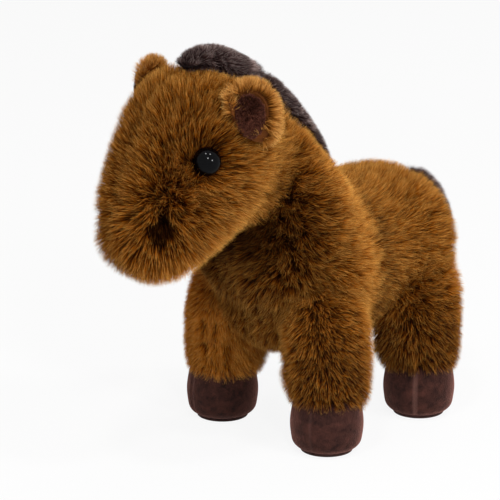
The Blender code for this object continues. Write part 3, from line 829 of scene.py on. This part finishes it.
def trim_leg(places, normals, settings):
    """Lets the lowest pile hang over the hoof, shapes the pile of each side, paints shade on the outer front
    of the left legs and paints light on the right legs and towards the top of every leg.
    """
    hem = np.clip((hem_height - places[:, 2]) / 0.008, 0, 1)
    settings["leans"] += radians(26) * hem
    outward = normals[:, 0] * np.sign(places[:, 0])
    outward_front = np.clip(outward * 0.7 - normals[:, 1] * 0.7, 0, 1)
    settings["lengths"] *= 1 - 0.26 * outward_front
    hind = places[:, 1] > mid_body
    thigh = np.interp(places[:, 2], (hem_height, 0.050), (0, 1)) * hind
    settings["lengths"] *= 1 + 0.75 * thigh * np.clip(-normals[:, 1] * 1.5 - 0.3, 0, 1)
    hip = fading(places[:, 2] - 0.084, 0.012) * hind
    settings["lengths"] *= 1 + (0.08 + 0.20 * hip) * np.clip(normals[:, 1], 0, 1) - 0.24 * hem * hind
    # Painted shade on the outer front of the left legs.
    left = places[:, 0] > 0
    settings["shades"] -= (0.27 + 0.04 * hind) * np.clip(outward_front * 1.6 - 0.1, 0, 1) * left
    inner = np.clip(-outward * 1.4, 0, 1) * np.interp(places[:, 2], (0.032, 0.048), (-0.15, 0.24))
    back = 0.16 * np.clip(normals[:, 1], 0, 1)
    settings["lengths"] *= 1 + (inner + back) * ~hind
    # Painted light on the right legs, the left ones a little darker, and more light towards the top of every
    # leg.
    settings["shades"] += np.where(places[:, 0] < 0, 0.48, -0.07)
    settings["shades"] += 0.26 * np.clip((places[:, 2] - 0.060) / 0.02, 0, 1)
    settings["keep"] &= normals[:, 2] > -0.9


for number, leg in enumerate(legs):
    leg_pile = grow(
        f"{leg}_pile", leg_skins[leg], leg_flow, brown_strands,
        length=brown_length, density=full_density, lean=26, seed=11 + number, trim=trim_leg,
    )
    for piece in [leg_skins[leg], *leg_pile]:
        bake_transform(piece)

# %% [markdown]
# ## Mane and tail
#
# Both are strips of near-black pile with greyish tips. It is shorter and denser than the brown
# pile and stands nearly upright, so that the strips keep their round edges. A few tufts have
# whitish ends.


# %% Grow the mane and the tail
def mane_flow(places, normals):
    """Back along the crest and down its sides, and forward again just behind the step."""
    behind_step = (places[:, 1] > mane_step) & (places[:, 1] < mane_step + 0.006)
    return np.where(behind_step[:, None], (0.0, -0.6, 0.5), (0.0, 0.6, -0.4))


def trim_mane(places, normals, settings):
    """Lightens a few tufts along the top, and closes the step between the strips."""
    patches = np.clip(mottle_at(places, 0.0040, 77) * 6 - 1.2, 0, 1)
    settings["shades"] += 1.0 * patches * np.clip(normals[:, 2] * 2 + 0.6, 0, 1)
    near_step = fading(places[:, 1] - mane_step, 0.0065)
    settings["lengths"] *= 1 + 0.9 * near_step
    settings["leans"] += radians(14) * near_step


def tail_flow(places, normals):
    """Down the tail."""
    return np.broadcast_to(np.array((0.0, 0.15, -1.0)), places.shape)


for number, (node, body, flow, strip_length) in enumerate((
    ("mane_poll", "head", mane_flow, 0.0056),
    ("mane_crest", "torso", mane_flow, 0.0064),
    ("tail", "tail", tail_flow, 0.0095),
)):
    form = thin_form(f"{node}_form", [node], 0.0016, 0.0024)
    skin = new_skin(f"{node}_skin", form, [node], dark_cloth)
    pile = grow(
        f"{node}_pile", skin, flow, dark_strands,
        length=strip_length, density=full_density * 1.8, lean=22, seed=21 + number, shade=0.15, mottle=0.26,
        trim=trim_mane,
    )
    for piece in [skin, *pile]:
        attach(piece, body)

# %% [markdown]
# ## Ears
#
# An ear is a round pad with long light pile on its back and rim, and a lining of short dark plush sewn into
# its front. It is too thin to puff, so its skin is only melted, smoothed and drawn in. No long pile grows in
# front of the lining, and the strands beside it are brushed outwards, so that they frame it. The lining is
# drawn down into the shape of a pear and gets short strands of its own; its lower part is partly real lining
# and partly painted shade where the ear meets the head.


# %% Grow the pile of the ears
ear_turn = radians(30)


def new_ear(side, x_sign, seed):
    """An ear's skin and pile, which is brushed outwards round the lining."""
    node = f"ear_{side}_cover"
    low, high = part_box(node)
    lining_low, lining_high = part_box(f"ear_{side}_lining")
    middle = np.array((low + high) / 2)
    lining_middle = np.array((lining_low + lining_high) / 2)
    facing_way = np.array((x_sign * cos(ear_turn), -sin(ear_turn), 0))
    outward = np.array((x_sign * sin(ear_turn), cos(ear_turn), 0))
    form = thin_form(f"ear_{side}_form", [node], 0.0013, 0.0028)
    skin = new_skin(f"ear_{side}_skin", form, [node], ear_cloth)

    def ear_flow(places, normals):
        return unit(places - middle + facing_way * 0.002)

    def trim_ear(places, normals, settings):
        offset = places - lining_middle
        forward = offset @ facing_way
        radial = np.linalg.norm(offset - forward[:, None] * facing_way, axis=1)
        settings["keep"] &= (radial > 0.0115) | (normals @ facing_way < 0.2)
        inner_low = -offset[:, 2] * 0.87 - offset @ outward * 0.5
        settings["keep"] &= (inner_low < 0.0045) | (forward < -0.003)

    pile = grow(
        f"ear_{side}_pile", skin, ear_flow, ear_strands,
        length=0.0078, density=full_density * 1.6, lean=26, seed=seed, trim=trim_ear, cling=0.3,
    )
    lining_form = thin_form(f"ear_{side}_lining_form", [f"ear_{side}_lining"], 0.0008, 0.0006)
    lining_places = points_of(lining_form)
    # The lining is drawn down below its middle: partly real lining, partly painted shade where the ear meets
    # the head.
    below = np.maximum(0, lining_middle[2] - lining_places[:, 2])[:, None]
    lining_places += below * (facing_way * 0.12 + np.array((0, 0, -0.45)))
    lining_form.vertices.foreach_set("co", lining_places.ravel())
    lining = new_skin(f"ear_{side}_lining_skin", lining_form, [f"ear_{side}_lining"], lining_cloth)
    short_pile = grow(
        f"ear_{side}_lining_pile", lining, ear_flow, lining_strands,
        length=0.0024, density=full_density * 3, lean=30, seed=seed + 10, width=0.0003,
    )
    for piece in [skin, *pile, lining, *short_pile]:
        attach(piece, f"ear_{side}")


new_ear("left", 1, 31)
new_ear("right", -1, 32)

# %% [markdown]
# ## Short plush of the hooves and soles
#
# The pile of this cloth is about a millimetre long and so dense that no single strand shows,
# so strands would be wasted on it. Its look comes from the material instead: soft mottles where
# it was brushed one way or the other, a fine grain that also gives the bump, and a sheen at the
# edges, where the tips of the pile catch the light.


# %% Finish the short plush
def short_plush(name, dark, light, seam_light, sheen_tint):
    """A dense short pile: brushed mottles, fine grain, light seams and a soft sheen at the edges."""
    shader = Shader(name, 0.85, Specular_IOR_Level=0.15, Sheen_Weight=0.75, Sheen_Roughness=0.35)
    shader.surface.inputs["Sheen Tint"].default_value = (*sheen_tint, 1)
    place = shader.add("TexCoord", {}, {}, output=3)
    brushed = shader.add("TexNoise", {}, {"Vector": place, "Scale": 190.0, "Detail": 4.0, "Distortion": 0.4})
    grain = shader.add("TexNoise", {}, {"Vector": place, "Scale": 1300.0, "Detail": 3.0})
    mottled = shader.ramp(brushed * 0.65 + grain * 0.35, [(0.34, dark), (0.72, light)])
    seam = shader.add("Attribute", {"attribute_name": "seam"}, {}, output=2)
    colour = shader.blend(seam * 0.6, mottled, (*seam_light, 1))
    return shader.finish(colour, grain, 0.8, 0.6 * millimetre)


hoof_plush = short_plush(
    "hoof_short_plush", srgb(20, 8, 6), srgb(78, 44, 36), srgb(140, 100, 90), srgb(225, 155, 140)
)
sole_plush = short_plush(
    "sole_short_plush", srgb(20, 10, 8), srgb(78, 50, 46), srgb(120, 88, 80), srgb(170, 120, 110)
)

# %% [markdown]
# ## Hooves
#
# A hoof is a cup of short plush: two curved panels, sewn together up the front and the back, and a round
# sole sewn in below. The cup is turned from its profile and the seams are pressed in with a soft stroke. The
# sole is turned as a pad of its own.


# %% Turn the hooves and soles
def smooth_steps(profile, steps):
    """More points on a profile, on a smooth curve through the given ones."""
    given = np.array(profile)
    ends = np.vstack((2 * given[0] - given[1], given, 2 * given[-1] - given[-2]))
    points = []
    for number in range(len(given) - 1):
        before, first, second, after = ends[number:number + 4]
        for share in np.arange(steps) / steps:
            lift = (second - before) * share + (2 * before - 5 * first + 4 * second - after) * share**2
            points.append(first + 0.5 * (lift + (3 * first - before - 3 * second + after) * share**3))
    return [*points, given[-1]]


def turned(name, profile, place, steps, material):
    """A closed shape turned from a profile of radius and height."""
    bm = bmesh.new()
    chain = [bm.verts.new((radius, 0, height)) for radius, height in profile]
    edges = [bm.edges.new(pair) for pair in zip(chain, chain[1:])]
    bmesh.ops.spin(bm, geom=chain + edges, axis=(0, 0, 1), angle=tau, steps=steps, use_merge=True)
    bmesh.ops.remove_doubles(bm, verts=bm.verts, dist=millimetre * 0.02)
    bmesh.ops.recalc_face_normals(bm, faces=bm.faces)
    bm.transform(place)
    mesh = bpy.data.meshes.new(name)
    bm.to_mesh(mesh)
    bm.free()
    mesh.shade_smooth()
    mesh.materials.append(material)
    thing = bpy.data.objects.new(name, mesh)
    bpy.context.scene.collection.objects.link(thing)
    return thing


def press_seams(thing, middle, angles, width, depth, light):
    """Presses upright seams into a turned shape, at angles about its middle, and marks them as lighter."""
    places = points_of(thing.data)
    offsets = places[:, :2] - np.array((middle.x, middle.y))
    turns = np.arctan2(offsets[:, 1], offsets[:, 0])
    radii = np.linalg.norm(offsets, axis=1, keepdims=True)
    strengths = np.zeros(len(places), np.float32)
    for angle in angles:
        beside = np.abs((turns - angle + pi) % tau - pi) * radii[:, 0]
        press = depth * fading(beside, width) * (radii[:, 0] > 0.4 * radii.max())
        places[:, :2] -= offsets / np.maximum(radii, millimetre) * press[:, None]
        strengths += (press / depth * light).astype(np.float32)
    thing.data.attributes.new("seam", "FLOAT", "POINT").data.foreach_set("value", strengths)
    thing.data.vertices.foreach_set("co", places.ravel())
    thing.data.update()


def new_hoof(leg):
    """A hoof with its seams, and the sole below it."""
    low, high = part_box(f"{leg}_hoof")
    sole_low, sole_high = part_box(f"{leg}_sole")
    middle = (low + high) / 2
    radius, height = (high.x - low.x) / 2, high.z - low.z
    sole_radius = (sole_high.x - sole_low.x) / 2
    sole_height = sole_high.z - sole_low.z
    cup = [
        (0.0, sole_height * 1.1), (sole_radius * 0.90, sole_height * 1.1),
        (sole_radius * 1.00, sole_height * 0.85), (sole_radius * 1.08, sole_height * 0.80),
        (radius * 0.925, height * 0.17), (radius * 0.975, height * 0.32),
        (radius * 1.000, height * 0.52), (radius * 0.965, height * 0.74),
        (radius * 0.89, height * 0.94), (radius * 0.78, height * 1.00), (0.0, height * 1.00),
    ]
    place = Matrix.Translation((middle.x, middle.y, low.z))
    hoof = turned(f"{leg}_hoof_cup", smooth_steps(cup, 4), place, 96, hoof_plush)
    hind = leg.startswith("hind")
    front = -pi / 2 + (0.62 if hind else 0.25) * (1 if middle.x > 0 else -1)
    press_seams(hoof, middle, (front, front + pi), width=0.0009, depth=0.0008, light=0.8 if hind else 0.2)
    pad = [
        (0.0, 0.0), (sole_radius * 0.86, 0.0), (sole_radius * 0.96, sole_height * 0.22),
        (sole_radius * 0.99, sole_height * 0.60), (sole_radius * 0.88, sole_height * 0.98),
        (0.0, sole_height),
    ]
    sole = turned(f"{leg}_sole_pad", smooth_steps(pad, 3), place, 64, sole_plush)
    for piece, node, slot in ((hoof, "hoof", "hoof_plush"), (sole, "sole", "sole_plush")):
        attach(piece, leg)
        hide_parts(f"{leg}_{node}")


for leg in legs:
    new_hoof(leg)

# %% [markdown]
# ## Eyes
#
# Each eye is a dome of polished black plastic with a thin rim. Its shank goes through the cloth
# into a washer. The dome is turned from a quarter of an ellipse, because a ball cut in half
# would stand out too far. Its finish is nearly black and very smooth but reflects little, so
# that the white floor and world don't turn it grey and the small lamps show as clear points.

# %% Turn the eyes
eye_radius = 0.0080
eye_rise = 0.006
eye_shader = Shader("eye_gloss", 0.02, Specular_IOR_Level=0.09)
eye_place = eye_shader.add("TexCoord", {}, {}, output=3)
eye_cloud = eye_shader.add("TexNoise", {}, {"Vector": eye_place, "Scale": 300.0})
eye_gloss = eye_shader.finish(eye_shader.blend(eye_cloud, (*srgb(0, 0, 1), 1), (*srgb(4, 4, 6), 1)))


def new_eye(side):
    """A smooth dome with a thin rim, turned about the eye's own axis."""
    node = f"eye_{side}"
    out = eye_out[side].normalized()
    profile = [(0, 0.0)] + [
        (eye_radius * sin(angle), eye_rise * (cos(angle) - 1))
        for angle in np.linspace(0.12, pi / 2, 14)
    ]
    profile += [(eye_radius, -0.0068), (0.0083, -0.0071), (0.0083, -0.0075), (0.0060, -0.0078)]
    tip = eye_middles[side] + out * eye_depth
    place = Matrix.Translation(tip) @ out.to_track_quat("Z", "Y").to_matrix().to_4x4()
    dome = turned(f"{node}_dome", profile, place, 48, eye_gloss)
    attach(dome, "head")
    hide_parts(node)


for side in ("left", "right"):
    new_eye(side)

washer_shader = Shader("washer_plastic_grain", 0.45)
washer_place = washer_shader.add("TexCoord", {}, {}, output=3)
washer_grain = washer_shader.add("TexNoise", {}, {"Vector": washer_place, "Scale": 900.0})
washer_colour = washer_shader.blend(washer_grain, (*srgb(214, 214, 210), 1), (*srgb(228, 228, 224), 1))
washer_plastic = washer_shader.finish(washer_colour, washer_grain, 0.2, 0.1 * millimetre)
for side in ("left", "right"):
    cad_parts[f"eye_washer_{side}"].data.materials[0] = washer_plastic

# %% [markdown]
# ## Floor, world and lamps
#
# The horse stands on a white floor in a white room. Light Path shows both as white to the camera
# and in reflections, while the light that they throw on the pile stays at a plain level. Four
# small lamps on the horse's left give the pile its crisp shadows and the eyes their points of
# light. Three large ones fill in from the front, the side and the rear.

# %% Light the horse
world = bpy.data.worlds.new("studio")
world.use_nodes = True
bpy.context.scene.world = world
nodes, links = world.node_tree.nodes, world.node_tree.links
sky = nodes["Background"]
path = nodes.new("ShaderNodeLightPath")
seen = nodes.new("ShaderNodeMath")
seen.operation = "MAXIMUM"
links.new(path.outputs["Is Camera Ray"], seen.inputs[0])
links.new(path.outputs["Is Glossy Ray"], seen.inputs[1])
seen_or_passed = nodes.new("ShaderNodeMath")
seen_or_passed.operation = "MAXIMUM"
links.new(seen.outputs[0], seen_or_passed.inputs[0])
links.new(path.outputs["Is Transmission Ray"], seen_or_passed.inputs[1])
strength = nodes.new("ShaderNodeMapRange")
links.new(seen_or_passed.outputs[0], strength.inputs["Value"])
strength.inputs["To Min"].default_value = 0.25
strength.inputs["To Max"].default_value = 1.0
links.new(strength.outputs["Result"], sky.inputs["Strength"])
sky.inputs["Color"].default_value = (1, 1, 1, 1)


def lamp(name, place, size, power):
    """A soft square lamp that faces the horse; only the small ones show in the eyes."""
    data = bpy.data.lights.new(name, "AREA")
    data.size = size
    data.energy = power
    thing = bpy.data.objects.new(name, data)
    bpy.context.scene.collection.objects.link(thing)
    way = Vector(place) - stance_middle
    thing.matrix_world = Matrix.Translation(place) @ way.to_track_quat("Z", "Y").to_matrix().to_4x4()
    thing.visible_glossy = size < 0.5


key_ways = ((28, 66), (84, 60), (53, 33), (80, 18))
key_distance = 1.5
key_size = 0.16
key_power = 5.6
for number, (turn, rise) in enumerate(key_ways):
    turn, rise = radians(turn), radians(rise)
    way = Vector((sin(turn) * cos(rise), -cos(turn) * cos(rise), sin(rise)))
    lamp(f"key_{number + 1}", stance_middle + way * key_distance, key_size, key_power)
lamp("front", (-0.7, -1.2, 0.9), 0.8, 1.5)
lamp("side", (1.4, 0.3, 1.0), 0.8, 2.2)
lamp("rear", (-0.3, 1.4, 1.2), 0.8, 6)

floor_bm = bmesh.new()
bmesh.ops.create_grid(floor_bm, x_segments=1, y_segments=1, size=3)
floor_mesh = bpy.data.meshes.new("floor")
floor_bm.to_mesh(floor_mesh)
floor_bm.free()
floor = bpy.data.objects.new("floor", floor_mesh)
bpy.context.scene.collection.objects.link(floor)
floor_shader = Shader("white_floor", 0.9, Specular_IOR_Level=0.0)
floor_material = floor_shader.finish((0.86, 0.86, 0.86, 1))
glow = floor_shader.add("Emission", {}, {"Color": (1, 1, 1, 1), "Strength": 1.0})
camera_ray = floor_shader.add("LightPath", {}, {}, output=0)
glossy_ray = floor_shader.add("LightPath", {}, {}, output=3)
lit = Value(floor_shader, floor_shader.surface.outputs[0])
mixed = floor_shader.add("MixShader", {}, {0: (camera_ray + glossy_ray) * 0.9, 1: lit, 2: glow})
floor_shader.tree.links.new(mixed.socket, floor_shader.tree.nodes["Material Output"].inputs["Surface"])
floor_mesh.materials.append(floor_material)

bpy.context.scene.view_settings.view_transform = "Standard"
